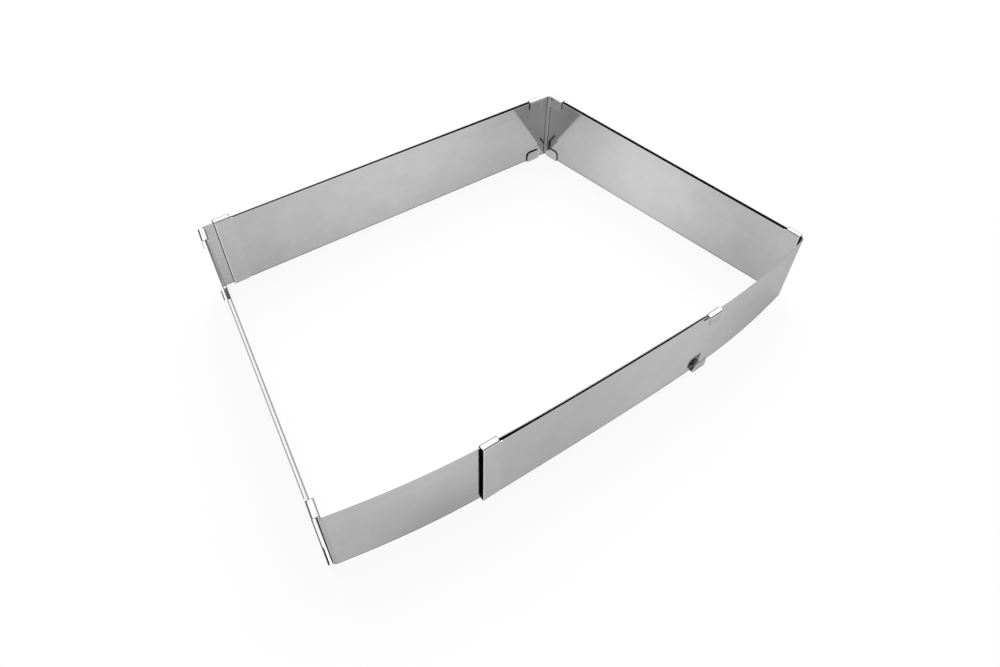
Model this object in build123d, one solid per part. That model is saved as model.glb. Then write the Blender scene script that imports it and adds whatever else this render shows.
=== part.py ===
from build123d import *
import os
from math import asin, cos, degrees, radians, sin, sqrt, tan

# Adjustable cake frame, in millimetres. Two outer and two inner angles are bent from thin
# stainless strip and stand as a four-sided ring. Every arm ends in a hook at its top and its
# bottom edge that folds over the neighbouring strip, so each wall is two strips that slide
# along each other. Plan sizes are taken on the inside faces, where the cake stands.

# Strip. The outer arms are a little longer than the inner ones, which they go round, and on
# the front wall the outer arm is longer still and the inner one cut a little shorter.
sheet = 0.5
strip_height = 50.0
inner_long_arm = 249.5
inner_short_arm = 208.3
outer_arm_extra = 1.0
front_outer_arm_extra = 5.6
front_inner_arm_cut = 1.9
fold_radius = 2.0
round_fold_radius = 3.5

# Folded hooks at the arm ends
hook_length = 10.5
hook_slot = 3.2
hook_bend_radius = 0.5
hook_edge_clearance = 0.5
hook_root = 1.0
lip_height = 8.0
lip_inner_corner_radius = 3.0
lip_end_corner_radius = 0.8
web_inner_corner_radius = 1.2
web_end_corner_radius = 0.4

# Gap between the two strips of each wall. On the right wall the outer strip leans on the
# hooks' lips, and on the rear wall the strips draw together towards the rear left corner.
rear_gap = 2.0
rear_closing_angle = 0.3
right_lip_clearance = 0.6
front_gap = 1.05
left_gap = 1.4

# Setting of the frame: the stretch that the outer strip covers alone beside the rear left
# corner and beside the front right corner, how far the left inner arm reaches past the rear
# wall's inside line, and how much further left the front left corner stands than the rear one
rear_single = 6.25
right_single = 0.7
left_overreach = 0.8
left_spread = 34.0

# Bow of the front wall, the same from both corners: a straight lead at an angle to the line
# between the corners, a corner arc, a shoulder arc, and one nearly flat arc in the middle
lead_angle = 11.25
lead_length = 12.0
shoulder_radius = 1150.0
bow_radius = 4500.0
bow_half_width = 36.0

# Soft crease where the hooks stiffen the arm end
crease_angle = 1.2
crease_radius = 60.0

# Worked out from the sizes above
hook_rise = sheet + hook_edge_clearance
hook_width = sheet + hook_slot + sheet
overall_height = hook_rise + strip_height + hook_rise
right_gap = hook_slot - sheet - right_lip_clearance
outer_long_arm = inner_long_arm + outer_arm_extra
outer_short_arm = inner_short_arm + outer_arm_extra
front_outer_arm = inner_long_arm + front_outer_arm_extra
front_inner_arm = inner_long_arm - front_inner_arm_cut
rear_wall = inner_long_arm + rear_single
left_wall = inner_short_arm - left_overreach
right_wall = inner_short_arm + right_single
frame_depth = sqrt(left_wall**2 - left_spread**2)
left_heading = degrees(asin(frame_depth / left_wall)) - 180
right_heading = -degrees(asin(frame_depth / right_wall))


def toward(heading):
    """Unit vector in plan for a heading in degrees from +X."""
    return Vector(cos(radians(heading)), sin(radians(heading)))


def crossing(point, heading, other_point, other_heading):
    """Point where two lines in plan meet."""
    along, other = toward(heading), toward(other_heading)
    reach = (other_point - point).cross(other).Z / along.cross(other).Z
    return point + along * reach


def setback(radius, turn):
    """Length that a bend takes off the flat on each side of it, up to the sharp corner."""
    return radius * tan(radians(abs(turn)) / 2)


def arc_length(radius, turn):
    return radius * radians(abs(turn))


def wall_depth(gap):
    """From the inside face of a wall to the outside face of its outer strip."""
    return sheet + gap + sheet


def bent_strip(start, heading, bends, last_flat):
    """Strip that follows flats and tangent bends in turn, given as flat, radius and turn.

    The path is the strip's back face. Its sheet lies on the right of the path, on the side
    of the hooks. Gives the solid, the end point and the end heading.
    """
    at = start
    path = Curve()
    for flat, radius, turn in bends:
        if flat:
            path += Line(at, at + toward(heading) * flat)
            at += toward(heading) * flat
        bend = JernArc(start=at, tangent=toward(heading), radius=radius, arc_size=turn)
        path += bend
        at = bend @ 1
        heading += turn
    path += Line(at, at + toward(heading) * last_flat)
    at += toward(heading) * last_flat
    plan = make_face(offset(path, amount=sheet, side=Side.RIGHT))
    strip = extrude(Pos(0, 0, hook_rise) * plan, amount=strip_height, dir=(0, 0, 1))
    return strip, at, heading


def top_hook():
    """Hook over the top edge: +X runs back along its arm, the neighbour lies towards +Y."""
    top = overall_height
    section_path = FilletPolyline(
        (0, 0, top - hook_rise - hook_root),
        (0, 0, top),
        (0, hook_width, top),
        (0, hook_width, top - lip_height),
        radius=hook_bend_radius + sheet,
    )
    section = make_face(offset(section_path, amount=sheet, side=Side.RIGHT))
    side_path = FilletPolyline(
        (0, 0, top - lip_height),
        (hook_length, 0, top - lip_height),
        (hook_length, 0, top),
        (0, 0, top),
        radius=[
            lip_end_corner_radius,
            lip_inner_corner_radius,
            web_inner_corner_radius,
            web_end_corner_radius,
        ],
        close=True,
    )
    folded = extrude(section, amount=hook_length, dir=(1, 0, 0))
    side_view = extrude(make_face(side_path), amount=hook_width, dir=(0, 1, 0))
    return folded & side_view


def hooks_at(arm_end, back_heading, hook):
    """The hook and its twin at the bottom edge, set at an arm's end."""
    middle = Plane.XY.offset(overall_height / 2)
    both = hook + mirror(hook, about=middle)
    return Plane(origin=arm_end, x_dir=toward(back_heading), z_dir=(0, 0, 1)) * both


def angle_strip(corner, short_heading, short_arm, long_heading, long_arm, fold, bow=None):
    """One bent angle with a hook pair at each arm end.

    The strip is followed from the short arm's end, along short_heading to the corner and
    along long_heading to the long arm's end. fold is the back face's radius at the corner.
    bow gives a bowed long arm its lead and how much wider its arcs are than the inner ones.
    """
    turn = (long_heading - short_heading + 180) % 360 - 180
    fold_cut = setback(fold, turn)
    crease_cut = setback(crease_radius, crease_angle)
    crease = corner - toward(short_heading) * (short_arm - hook_length - crease_cut)
    end_heading = short_heading - crease_angle
    start = crease - toward(end_heading) * (hook_length + crease_cut)
    bends = [
        (hook_length, crease_radius, crease_angle),
        (short_arm - hook_length - 2 * crease_cut - fold_cut, fold, turn),
    ]
    straight = long_arm - 2 * crease_cut - hook_length
    if bow:
        lead, widening = bow
        side = turn / abs(turn)
        straight -= lead
        straight -= arc_length(corner_arc_radius + widening, corner_arc_turn)
        straight -= arc_length(shoulder_radius + widening, shoulder_turn)
        bow_turn = degrees(straight / (bow_radius + widening))
        bends += [
            (lead - fold_cut, corner_arc_radius + widening, side * corner_arc_turn),
            (0, shoulder_radius + widening, side * shoulder_turn),
            (0, bow_radius + widening, side * bow_turn),
            (0, crease_radius, crease_angle),
        ]
    else:
        bends += [(straight - fold_cut, crease_radius, crease_angle)]
    strip, end, last_heading = bent_strip(start, end_heading, bends, hook_length)
    hook = top_hook()
    strip += hooks_at(start, end_heading, mirror(hook, about=Plane.XZ))
    strip += hooks_at(end, last_heading + 180, hook)
    return strip


# Corners of the inside faces, and of the outer strips' outside faces
rear_right_inside = Vector(0, 0)
rear_left_inside = Vector(-rear_wall, 0)
front_left_inside = rear_left_inside + toward(left_heading) * left_wall
front_right_inside = rear_right_inside + toward(right_heading) * right_wall
rear_outside = Vector(0, wall_depth(rear_gap))
left_outside = rear_left_inside + toward(left_heading - 90) * wall_depth(left_gap)
right_outside = rear_right_inside + toward(right_heading + 90) * wall_depth(right_gap)
rear_left_outside = crossing(rear_outside, 0, left_outside, left_heading)

# Front wall: how far each arc reaches, measured as an angle at its centre
half_front = (front_right_inside.X - front_left_inside.X) / 2
half_overlap = front_inner_arm - half_front
bow_edge_angle = degrees(asin(bow_half_width / bow_radius))
shoulder_rise = (half_overlap - bow_half_width) / shoulder_radius
shoulder_edge_angle = degrees(asin(bow_half_width / bow_radius + shoulder_rise))
shoulder_turn = shoulder_edge_angle - bow_edge_angle
corner_arc_turn = lead_angle - shoulder_edge_angle
corner_arc_width = half_front - half_overlap - lead_length * cos(radians(lead_angle))
corner_arc_rise = sin(radians(lead_angle)) - sin(radians(shoulder_edge_angle))
corner_arc_radius = corner_arc_width / corner_arc_rise

# From the front left corner along the inner strip to the centre of the middle arc, then back
# out to the outer strip's lead. The outer strip mirrors the inner one, set further out.
bow_centre = (
    front_left_inside
    + toward(-lead_angle) * lead_length
    + toward(90 - lead_angle) * corner_arc_radius
    + toward(90 - shoulder_edge_angle) * (shoulder_radius - corner_arc_radius)
    + toward(90 - bow_edge_angle) * (bow_radius - shoulder_radius)
)
outer_lead_start = (
    bow_centre
    - toward(90 + bow_edge_angle) * (bow_radius - shoulder_radius)
    - toward(90 + shoulder_edge_angle) * (shoulder_radius - corner_arc_radius)
    - toward(90 + lead_angle) * (corner_arc_radius + wall_depth(front_gap))
)
front_right_outside = crossing(outer_lead_start, lead_angle, right_outside, right_heading)
outer_lead = (front_right_outside - outer_lead_start).length


def rear_left_angle():
    """Outer strip of the rear and the left wall."""
    return angle_strip(
        rear_left_outside,
        left_heading + 180,
        outer_short_arm,
        0,
        outer_long_arm,
        fold_radius + sheet,
    )


def rear_right_angle():
    """Inner strip of the rear and the right wall."""
    return angle_strip(
        rear_right_inside,
        right_heading + 180,
        inner_short_arm,
        180 - rear_closing_angle,
        inner_long_arm,
        fold_radius,
    )


def front_right_angle():
    """Outer strip of the right and the front wall."""
    return angle_strip(
        front_right_outside,
        right_heading,
        outer_short_arm,
        180 + lead_angle,
        front_outer_arm,
        round_fold_radius + sheet,
        bow=(outer_lead, wall_depth(front_gap)),
    )


def front_left_angle():
    """Inner strip of the left and the front wall."""
    return angle_strip(
        front_left_inside,
        left_heading,
        inner_short_arm,
        -lead_angle,
        front_inner_arm,
        fold_radius,
        bow=(lead_length, 0),
    )


pieces = {
    "rear_left_angle": rear_left_angle(),
    "rear_right_angle": rear_right_angle(),
    "front_right_angle": front_right_angle(),
    "front_left_angle": front_left_angle(),
}

# The origin is the middle of the underside of the whole frame
space = Compound(list(pieces.values())).bounding_box()
to_origin = Pos(-space.center().X, -space.center().Y, -space.min.Z)

os.makedirs("parts", exist_ok=True)
for name, piece in pieces.items():
    export_step(to_origin * piece, f"parts/{name}.step")
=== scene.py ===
from math import radians

import bpy
from mathutils import Matrix, Vector

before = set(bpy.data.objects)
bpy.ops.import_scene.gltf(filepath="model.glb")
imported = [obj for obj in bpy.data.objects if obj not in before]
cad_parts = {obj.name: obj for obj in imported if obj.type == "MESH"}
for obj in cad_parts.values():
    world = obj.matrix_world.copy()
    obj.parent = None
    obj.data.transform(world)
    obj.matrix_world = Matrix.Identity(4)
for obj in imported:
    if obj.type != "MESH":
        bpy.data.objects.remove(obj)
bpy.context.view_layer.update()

# The camera, above the front left corner: a digital one with a short zoom lens at about 28 mm.
# It is held by hand, a little out of level, and looks down over the frame to the far corner.
camera_place = Vector((-0.1994, -0.2747, 0.3811))
camera_turn = 42.85
camera_tilt_down = 52.20
camera_roll = 6.63
camera_lens = 28.22
camera_shift = (-0.0511, 0.0310)
camera_sensor = 36
camera_nearest = 0.01

camera = bpy.data.objects.new("camera", bpy.data.cameras.new("camera"))
bpy.context.scene.collection.objects.link(camera)
turn = Matrix.Rotation(radians(-camera_turn), 4, "Z")
tilt = Matrix.Rotation(radians(90 - camera_tilt_down), 4, "X")
roll = Matrix.Rotation(radians(camera_roll), 4, "Z")
camera.matrix_world = Matrix.Translation(camera_place) @ turn @ tilt @ roll
camera.data.sensor_width = camera_sensor
camera.data.lens = camera_lens
camera.data.shift_x, camera.data.shift_y = camera_shift
camera.data.clip_start = camera_nearest
bpy.context.scene.camera = camera
bpy.context.scene.view_settings.view_transform = "Standard"

# The table: a white laminate top, which runs out of sight. It is exposed to white, so that only
# a faint shadow stays beside the walls, and the steel mirrors it as white too.
table_reach = 6.0
table_colour = (0.86, 0.86, 0.86, 1)
table_white_viewed = 0.90
table_white_mirrored = 0.70

bpy.ops.mesh.primitive_plane_add(size=table_reach)
table = bpy.context.object
table.name = "table"
laminate = bpy.data.materials.new("white_laminate")
laminate.use_nodes = True
nodes, links = laminate.node_tree.nodes, laminate.node_tree.links
nodes.clear()
matt = nodes.new("ShaderNodeBsdfDiffuse")
matt.inputs["Color"].default_value = table_colour
white = nodes.new("ShaderNodeEmission")
path = nodes.new("ShaderNodeLightPath")
mirrored = nodes.new("ShaderNodeMath")
mirrored.operation = "MULTIPLY"
mirrored.inputs[1].default_value = table_white_mirrored
links.new(path.outputs["Is Glossy Ray"], mirrored.inputs[0])
share = nodes.new("ShaderNodeMath")
share.operation = "MULTIPLY_ADD"
share.inputs[1].default_value = table_white_viewed
links.new(path.outputs["Is Camera Ray"], share.inputs[0])
links.new(mirrored.outputs[0], share.inputs[2])
top = nodes.new("ShaderNodeMixShader")
links.new(share.outputs[0], top.inputs["Fac"])
links.new(matt.outputs[0], top.inputs[1])
links.new(white.outputs[0], top.inputs[2])
surface = nodes.new("ShaderNodeOutputMaterial")
links.new(top.outputs[0], surface.inputs["Surface"])
table.data.materials.append(laminate)

# The room: white painted walls round the table, which fill the view and light the frame evenly.
# The far side is in shade below the lamp, which draws a dark line along the steel's bends.
room_paint = (1, 1, 1, 1)
room_light = 0.62
room_white_viewed = 1
shade_strength = 0.15
shade_top, shade_end = 0.66, 0.86
shade_side = (0.6, 0.8, 0.0)
shade_side_from, shade_side_full = -0.1, 0.3

room = bpy.data.worlds.new("room")
bpy.context.scene.world = room
room.use_nodes = True
nodes, links = room.node_tree.nodes, room.node_tree.links
background = nodes["Background"]
background.inputs["Color"].default_value = room_paint
ways = nodes.new("ShaderNodeTexCoord")
height = nodes.new("ShaderNodeSeparateXYZ")
links.new(ways.outputs["Generated"], height.inputs[0])
below_lamp = nodes.new("ShaderNodeMapRange")
below_lamp.inputs["From Min"].default_value = shade_end
below_lamp.inputs["From Max"].default_value = shade_top
links.new(height.outputs["Z"], below_lamp.inputs["Value"])
far_side = nodes.new("ShaderNodeVectorMath")
far_side.operation = "DOT_PRODUCT"
far_side.inputs[1].default_value = shade_side
links.new(ways.outputs["Generated"], far_side.inputs[0])
beyond = nodes.new("ShaderNodeMapRange")
beyond.inputs["From Min"].default_value = shade_side_from
beyond.inputs["From Max"].default_value = shade_side_full
links.new(far_side.outputs["Value"], beyond.inputs["Value"])
shaded = nodes.new("ShaderNodeMath")
shaded.operation = "MULTIPLY"
links.new(below_lamp.outputs[0], shaded.inputs[0])
links.new(beyond.outputs[0], shaded.inputs[1])
shade = nodes.new("ShaderNodeMapRange")
shade.inputs["To Min"].default_value = 1
shade.inputs["To Max"].default_value = shade_strength
links.new(shaded.outputs[0], shade.inputs["Value"])
path = nodes.new("ShaderNodeLightPath")
mirrored = nodes.new("ShaderNodeMix")
mirrored.inputs["A"].default_value = room_light
links.new(path.outputs["Is Glossy Ray"], mirrored.inputs["Factor"])
links.new(shade.outputs[0], mirrored.inputs["B"])
viewed = nodes.new("ShaderNodeMix")
viewed.inputs["B"].default_value = room_white_viewed
links.new(path.outputs["Is Camera Ray"], viewed.inputs["Factor"])
links.new(mirrored.outputs["Result"], viewed.inputs["A"])
links.new(viewed.outputs["Result"], background.inputs["Strength"])

# The lamp: one large softbox of white cloth, hung above and behind the frame to the right. It
# shines back off everything level, so the webs of the hooks stand out white.
softbox_place = Vector((0.85, 1.15, 1.70))
softbox_size = (3.0, 2.6)
softbox_power = 68

softbox = bpy.data.objects.new("softbox", bpy.data.lights.new("softbox", "AREA"))
bpy.context.scene.collection.objects.link(softbox)
softbox.data.shape = "RECTANGLE"
softbox.data.size, softbox.data.size_y = softbox_size
softbox.data.energy = softbox_power
softbox.location = softbox_place
softbox.rotation_euler = (-softbox_place).to_track_quat("-Z", "Y").to_euler()

# Rear left angle: the outer strip of the rear and the left wall. It is sheared from bright
# rolled stainless sheet, half a millimetre thick. The hooks at its ends are folded inwards
# round the neighbouring strips, and then it is bent at the corner.
sheared_depth = 0.00002


def effect(name, wanted, given):
    """A node group with its named inputs and outputs, and its two ends."""
    group = bpy.data.node_groups.new(name, "ShaderNodeTree")
    for socket, kind in wanted.items():
        group.interface.new_socket(socket, in_out="INPUT", socket_type=kind)
    for socket, kind in given.items():
        group.interface.new_socket(socket, in_out="OUTPUT", socket_type=kind)
    start = group.nodes.new("NodeGroupInput").outputs
    end = group.nodes.new("NodeGroupOutput").inputs
    return group, start, end


def sum_up(tree, operation, *values):
    """A Math node on links and numbers."""
    node = tree.nodes.new("ShaderNodeMath")
    node.operation = operation
    for socket, value in zip(node.inputs, values):
        if isinstance(value, (int, float)):
            socket.default_value = value
        else:
            tree.links.new(value, socket)
    return node.outputs[0]


def point_sum(tree, operation, result, *values):
    """A Vector Math node on links and vectors."""
    node = tree.nodes.new("ShaderNodeVectorMath")
    node.operation = operation
    for socket, value in zip(node.inputs, values):
        if isinstance(value, tuple):
            socket.default_value = value
        else:
            tree.links.new(value, socket)
    return node.outputs[result]


def spread(tree, value, low, high, to_low, to_high, smooth=False):
    """A Map Range node, which turns a value's range into another."""
    node = tree.nodes.new("ShaderNodeMapRange")
    if smooth:
        node.interpolation_type = "SMOOTHSTEP"
    for socket, given in zip(("Value", "From Min", "From Max", "To Min", "To Max"),
                             (value, low, high, to_low, to_high)):
        if isinstance(given, (int, float)):
            node.inputs[socket].default_value = given
        else:
            tree.links.new(given, node.inputs[socket])
    return node.outputs[0]


def lightened(tree, tone, mask, gain):
    """The tone, times the gain where the mask is full. A gain below one darkens it."""
    return sum_up(tree, "MULTIPLY", tone, spread(tree, mask, 0, 1, 1, gain))


def strip_place(tree):
    """Where a point lies on the strip."""
    return tree.nodes.new("ShaderNodeTexCoord").outputs["Object"]


def mottle(tree, place, size, detail, seed):
    """Noise, from 0 to 1 and mostly near the half."""
    noise = tree.nodes.new("ShaderNodeTexNoise")
    noise.noise_dimensions = "4D"
    noise.inputs["Scale"].default_value = size
    noise.inputs["Detail"].default_value = detail
    tree.links.new(place, noise.inputs["Vector"])
    tree.links.new(seed, noise.inputs["W"])
    return noise.outputs["Fac"]


def uneven(tree, noise, amount):
    """A gain round one, as far from it as the noise and the amount say."""
    return sum_up(tree, "MULTIPLY_ADD", sum_up(tree, "SUBTRACT", noise, 0.5), amount, 1)


# Rolling leaves fine lines along the strip, and handling leaves faint dull clouds on it.
cloud_size, cloud_detail = 55, 4
line_stretch, line_detail = (3, 3, 1300), 2
cloud_clear, cloud_thick = 0.3, 0.7
clear_dullness, thick_dullness = 0.75, 1.35

rolled, given, out = effect(
    "rolled steel",
    {"Tone": "NodeSocketFloat", "Clouds": "NodeSocketFloat", "Lines": "NodeSocketFloat",
     "Dullness": "NodeSocketFloat", "Seed": "NodeSocketFloat"},
    {"Tone": "NodeSocketFloat", "Roughness": "NodeSocketFloat", "Height": "NodeSocketFloat"},
)
clouds = mottle(rolled, strip_place(rolled), cloud_size, cloud_detail, given["Seed"])
along_lines = point_sum(rolled, "MULTIPLY", "Vector", strip_place(rolled), line_stretch)
lines = mottle(rolled, along_lines, 1, line_detail, given["Seed"])
cloudy = uneven(rolled, clouds, given["Clouds"])
lined = uneven(rolled, lines, given["Lines"])
tone = sum_up(rolled, "MULTIPLY", given["Tone"], sum_up(rolled, "MULTIPLY", cloudy, lined))
rolled.links.new(tone, out["Tone"])
clouded = spread(rolled, clouds, cloud_clear, cloud_thick, clear_dullness, thick_dullness)
rolled.links.new(sum_up(rolled, "MULTIPLY", given["Dullness"], clouded), out["Roughness"])
rolled.links.new(lines, out["Height"])

# The last stretch of an arm, from its end to the crease that folding its hooks leaves. Face is
# the sheared end, Rim the line beside it, which gets a painted highlight, and Web the two bends
# of each hook's web, which get painted shade. End is the arm's end, and Back points along it.
hook_length = 0.0105
crease_length = 0.0013
hook_reach = 0.007
rim_width = 0.0009
mid_height = 0.026
bend_height = 0.0256
web_middle = 0.0021
web_bright, web_shaded = 0.0005, 0.00110

arm_end, given, out = effect(
    "arm end",
    {"End": "NodeSocketVector", "Back": "NodeSocketVector"},
    {"Mask": "NodeSocketFloat", "Face": "NodeSocketFloat", "Rim": "NodeSocketFloat",
     "Web": "NodeSocketFloat"},
)
place = strip_place(arm_end)
offset = point_sum(arm_end, "SUBTRACT", "Vector", place, given["End"])
along = point_sum(arm_end, "DOT_PRODUCT", "Value", offset, given["Back"])
sideways = point_sum(arm_end, "CROSS_PRODUCT", "Vector", given["Back"], (0, 0, 1))
across = sum_up(
    arm_end, "ABSOLUTE", point_sum(arm_end, "DOT_PRODUCT", "Value", offset, sideways))
near = spread(arm_end, along, hook_length, hook_length + crease_length, 1, 0, smooth=True)
beside = sum_up(arm_end, "LESS_THAN", across, hook_reach)
stretch = sum_up(arm_end, "MULTIPLY", near, beside)
arm_end.links.new(stretch, out["Mask"])
cut = sum_up(arm_end, "LESS_THAN", along, sheared_depth)
arm_end.links.new(sum_up(arm_end, "MULTIPLY", cut, beside), out["Face"])
rim = spread(arm_end, along, 0, rim_width, 1, 0)
arm_end.links.new(sum_up(arm_end, "MULTIPLY", rim, beside), out["Rim"])
split = arm_end.nodes.new("ShaderNodeSeparateXYZ")
arm_end.links.new(place, split.inputs[0])
from_middle = sum_up(arm_end, "SUBTRACT", split.outputs["Z"], mid_height)
bent = sum_up(arm_end, "GREATER_THAN", sum_up(arm_end, "ABSOLUTE", from_middle), bend_height)
off_web = sum_up(arm_end, "ABSOLUTE", sum_up(arm_end, "SUBTRACT", across, web_middle))
to_bend = spread(arm_end, off_web, web_bright, web_shaded, 0, 1)
on_web = sum_up(arm_end, "MULTIPLY", bent, stretch)
arm_end.links.new(sum_up(arm_end, "MULTIPLY", to_bend, on_web), out["Web"])

# A broad soft patch of painted light on a face: painted sheen if lighter, painted shade if
# darker.
patch, given, out = effect(
    "worn patch",
    {"Middle": "NodeSocketVector", "Reach": "NodeSocketFloat"},
    {"Mask": "NodeSocketFloat"},
)
away = point_sum(patch, "DISTANCE", "Value", strip_place(patch), given["Middle"])
patch.links.new(spread(patch, away, given["Reach"], 0, 0, 1, smooth=True), out["Mask"])

# The fold at the corner, darkened by painted shade.
fold_reach = 0.0024
fold_solid_share = 0.8

fold, given, out = effect(
    "fold",
    {"Corner": "NodeSocketVector", "Reach": "NodeSocketFloat"},
    {"Mask": "NodeSocketFloat"},
)
plan_place = point_sum(fold, "MULTIPLY", "Vector", strip_place(fold), (1, 1, 0))
away = point_sum(fold, "DISTANCE", "Value", plan_place, given["Corner"])
solid = sum_up(fold, "MULTIPLY", given["Reach"], fold_solid_share)
fold.links.new(spread(fold, away, solid, given["Reach"], 1, 0, smooth=True), out["Mask"])

# Shearing leaves the strip's two edges matt. The line above the lower edge gets painted contact
# shade, and the line below the upper edge a painted highlight.
lower_edge, upper_edge = 0.001, 0.051
lower_shade_width = 0.0011
upper_highlight_width = 0.0007

sheared, given, out = effect(
    "sheared edge",
    {},
    {"Face": "NodeSocketFloat", "Lower": "NodeSocketFloat", "Upper": "NodeSocketFloat"},
)
split = sheared.nodes.new("ShaderNodeSeparateXYZ")
sheared.links.new(strip_place(sheared), split.inputs[0])
from_lower, from_upper = [
    sum_up(sheared, "ABSOLUTE", sum_up(sheared, "SUBTRACT", split.outputs["Z"], edge))
    for edge in (lower_edge, upper_edge)
]
nearest = sum_up(sheared, "MINIMUM", from_lower, from_upper)
sheared.links.new(sum_up(sheared, "LESS_THAN", nearest, sheared_depth), out["Face"])
sheared.links.new(spread(sheared, from_lower, lower_shade_width / 2, lower_shade_width, 1, 0), out["Lower"])
sheared.links.new(spread(sheared, from_upper, upper_highlight_width / 2, upper_highlight_width, 1, 0), out["Upper"])

# What each effect does to the tone of the face round it, and to its dullness and relief
glancing_tint = (0.62, 0.62, 0.62, 1)
line_contrast = 0.08
line_height = 0.000004
# The stretch at an arm's end is lightened as a painted sheen, for the slight tilt folding
# leaves.
end_stretch_sheen_gain = 1.05
# The rim beside an arm's end gets a painted highlight.
rim_highlight_gain = 1.6
# The bends of each hook's web get painted shade, for the dark room they would mirror.
bend_shade_gain = 0.42
# The line above the lower edge gets painted contact shade.
lower_shade_gain = 0.55
# The line below the upper edge gets a painted highlight.
upper_highlight_gain = 1.15
sheared_gain = 0.27
sheared_dullness = 0.35


def strip_steel(name, tone, clouds, dullness, seed, ends, corner, fold_shade_gain, painted_light_patches):
    """Bright rolled steel for one strip, from the effects above and the strip's own values."""
    material = bpy.data.materials.new(name)
    material.use_nodes = True
    tree = material.node_tree
    shader = tree.nodes["Principled BSDF"]
    shader.inputs["Metallic"].default_value = 1
    shader.inputs["Specular Tint"].default_value = glancing_tint

    def place_effect(group, **values):
        node = tree.nodes.new("ShaderNodeGroup")
        node.node_tree = group
        for socket, value in values.items():
            node.inputs[socket].default_value = value
        return node.outputs

    steel = place_effect(
        rolled, Tone=tone, Clouds=clouds, Lines=line_contrast, Dullness=dullness, Seed=seed)
    edge = place_effect(sheared)
    arms = [place_effect(arm_end, End=(*end, 0), Back=(*back, 0)) for end, back in ends]
    stretch, cut, rim, web = [
        sum_up(tree, "MAXIMUM", arms[0][mask], arms[1][mask])
        for mask in ("Mask", "Face", "Rim", "Web")
    ]
    plain_edge = sum_up(tree, "SUBTRACT", 1, stretch)
    lower = sum_up(tree, "MULTIPLY", edge["Lower"], plain_edge)
    upper = sum_up(tree, "MULTIPLY", edge["Upper"], plain_edge)
    face = sum_up(tree, "MAXIMUM", cut, sum_up(tree, "MULTIPLY", edge["Face"], plain_edge))
    bend = place_effect(fold, Corner=(*corner, 0), Reach=fold_reach)
    lit = steel["Tone"]
    for mask, gain in ((stretch, end_stretch_sheen_gain), (rim, rim_highlight_gain), (web, bend_shade_gain),
                       (lower, lower_shade_gain), (upper, upper_highlight_gain),
                       (face, sheared_gain), (bend["Mask"], fold_shade_gain)):
        lit = lightened(tree, lit, mask, gain)
    # Painted sheen and painted shade patches, which stand in for light the steel mirrors.
    for middle, reach, gain in painted_light_patches:
        painted_light = place_effect(patch, Middle=middle, Reach=reach)
        lit = lightened(tree, lit, painted_light["Mask"], gain)
    tree.links.new(lit, shader.inputs["Base Color"])
    cut_dullness = sum_up(tree, "MULTIPLY", face, sheared_dullness)
    rough = sum_up(tree, "ADD", steel["Roughness"], cut_dullness)
    tree.links.new(rough, shader.inputs["Roughness"])
    relief = tree.nodes.new("ShaderNodeBump")
    relief.inputs["Distance"].default_value = line_height
    tree.links.new(steel["Height"], relief.inputs["Height"])
    tree.links.new(relief.outputs["Normal"], shader.inputs["Normal"])
    return material


def finish_strip(name, steel):
    """The strip's CAD mesh gets its steel in its one slot."""
    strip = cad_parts[name]
    strip.data.materials.clear()
    strip.data.materials.append(steel)


rear_left_ends = [
    ((-0.16908, -0.09566), (0.18448, 0.98284)),
    ((0.11594, 0.11101), (-0.99978, -0.02094)),
]
finish_strip("rear_left_angle", strip_steel(
    "rear_left_steel", tone=0.47, clouds=0.20, dullness=0.10, seed=1, ends=rear_left_ends,
    corner=(-0.1345, 0.1107), fold_shade_gain=0.9, painted_light_patches=[]))

# Rear right angle: the inner strip of the rear and the right wall, of the same steel. Its hooks
# are folded outwards over the outer strips, which slide in them. Its broad inside faces, where
# the cake stands, are the brightest, from painted sheen patches that stand in for mirrored
# light.
rear_right_ends = [
    ((0.16495, -0.09628), (-0.18135, 0.98342)),
    ((-0.12637, 0.10885), (0.99988, 0.01571)),
]
# Painted sheen patches: middle, reach, and how much lighter.
rear_sheen = ((-0.005, 0.108, 0.020), 0.14, 1.24)
right_sheen = ((0.140, 0.020, 0.010), 0.095, 1.46)
corner_sheen = ((0.123, 0.108, 0.026), 0.055, 1.17)
finish_strip("rear_right_angle", strip_steel(
    "rear_right_steel", tone=0.45, clouds=0.22, dullness=0.09, seed=2, ends=rear_right_ends,
    corner=(0.1231, 0.1078), fold_shade_gain=0.55, painted_light_patches=[rear_sheen, right_sheen, corner_sheen]))

# Front right angle: the outer strip of the right and the bowed front wall, of the same steel.
# Its hooks are folded inwards, and its corner is bent a little rounder. Its outside is duller,
# from being pushed and pulled by hand.
front_right_ends = [
    ((0.12675, 0.10671), (0.18135, -0.98342)),
    ((-0.08539, -0.11108), (0.99999, 0.00473)),
]
# A painted sheen on the bowed front face: middle, reach, and how much lighter.
bowed_sheen = ((0.060, -0.112, 0.015), 0.105, 1.23)
finish_strip("front_right_angle", strip_steel(
    "front_right_steel", tone=0.535, clouds=0.17, dullness=0.11, seed=3, ends=front_right_ends,
    corner=(0.1688, -0.0983), fold_shade_gain=0.9, painted_light_patches=[bowed_sheen]))

# Front left angle: the inner strip of the left and the bowed front wall, of the same steel. Its
# hooks are folded outwards over the outer strips. Near the corner it has painted shade low
# down, and a little painted sheen above it.
front_left_ends = [
    ((-0.13226, 0.10852), (-0.18448, -0.98284)),
    ((0.08010, -0.10863), (-0.99934, -0.03627)),
]
# Painted shade low down near the corner, and painted sheen above it: middle, reach, and gain.
low_corner_shade = ((-0.110, -0.108, -0.005), 0.050, 0.80)
upper_corner_sheen = ((-0.110, -0.108, 0.055), 0.050, 1.06)
finish_strip("front_left_angle", strip_steel(
    "front_left_steel", tone=0.535, clouds=0.17, dullness=0.11, seed=4, ends=front_left_ends,
    corner=(-0.1666, -0.0969), fold_shade_gain=0.9, painted_light_patches=[low_corner_shade, upper_corner_sheen]))
